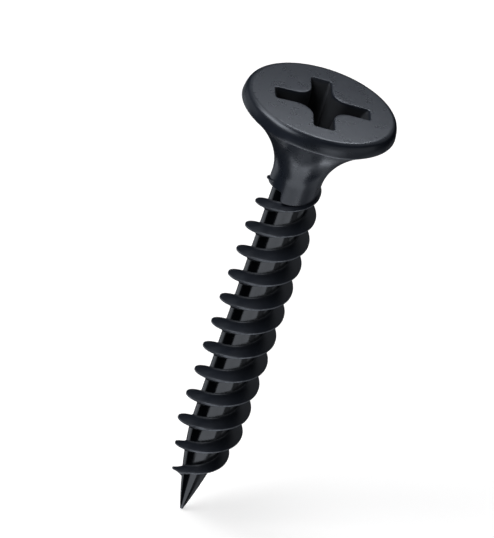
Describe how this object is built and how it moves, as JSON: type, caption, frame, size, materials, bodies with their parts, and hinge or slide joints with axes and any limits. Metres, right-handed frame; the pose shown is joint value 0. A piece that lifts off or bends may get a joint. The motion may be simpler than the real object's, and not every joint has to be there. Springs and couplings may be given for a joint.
{
  "type": "wood screw",
  "caption": "Self-drilling screw with a flat-topped bugle head, a cross recess, a twin-start right-hand thread and a sharp plain point, in black phosphated steel.",
  "frame": {"origin": "on the screw's axis in the plane of the head's flat top, at the centre of the mouth of the cross recess", "axes": "+Z along the screw's axis, out of the top of the head; the tip is straight down at -Z; the wings of the cross recess lie on X and Y"},
  "size_m": [0.0082, 0.0082, 0.0251],
  "materials": {
    "head_phosphate": "cold-forged steel, black phosphate, satin with a light oil",
    "rolled_phosphate": "rolled steel, black phosphate, satin with a light oil"
  },
  "bodies": {
    "root": {"bugle_head": "head_phosphate", "neck": "head_phosphate", "shank": "rolled_phosphate", "thread": "rolled_phosphate", "point": "rolled_phosphate"}
  },
  "joints": []
}
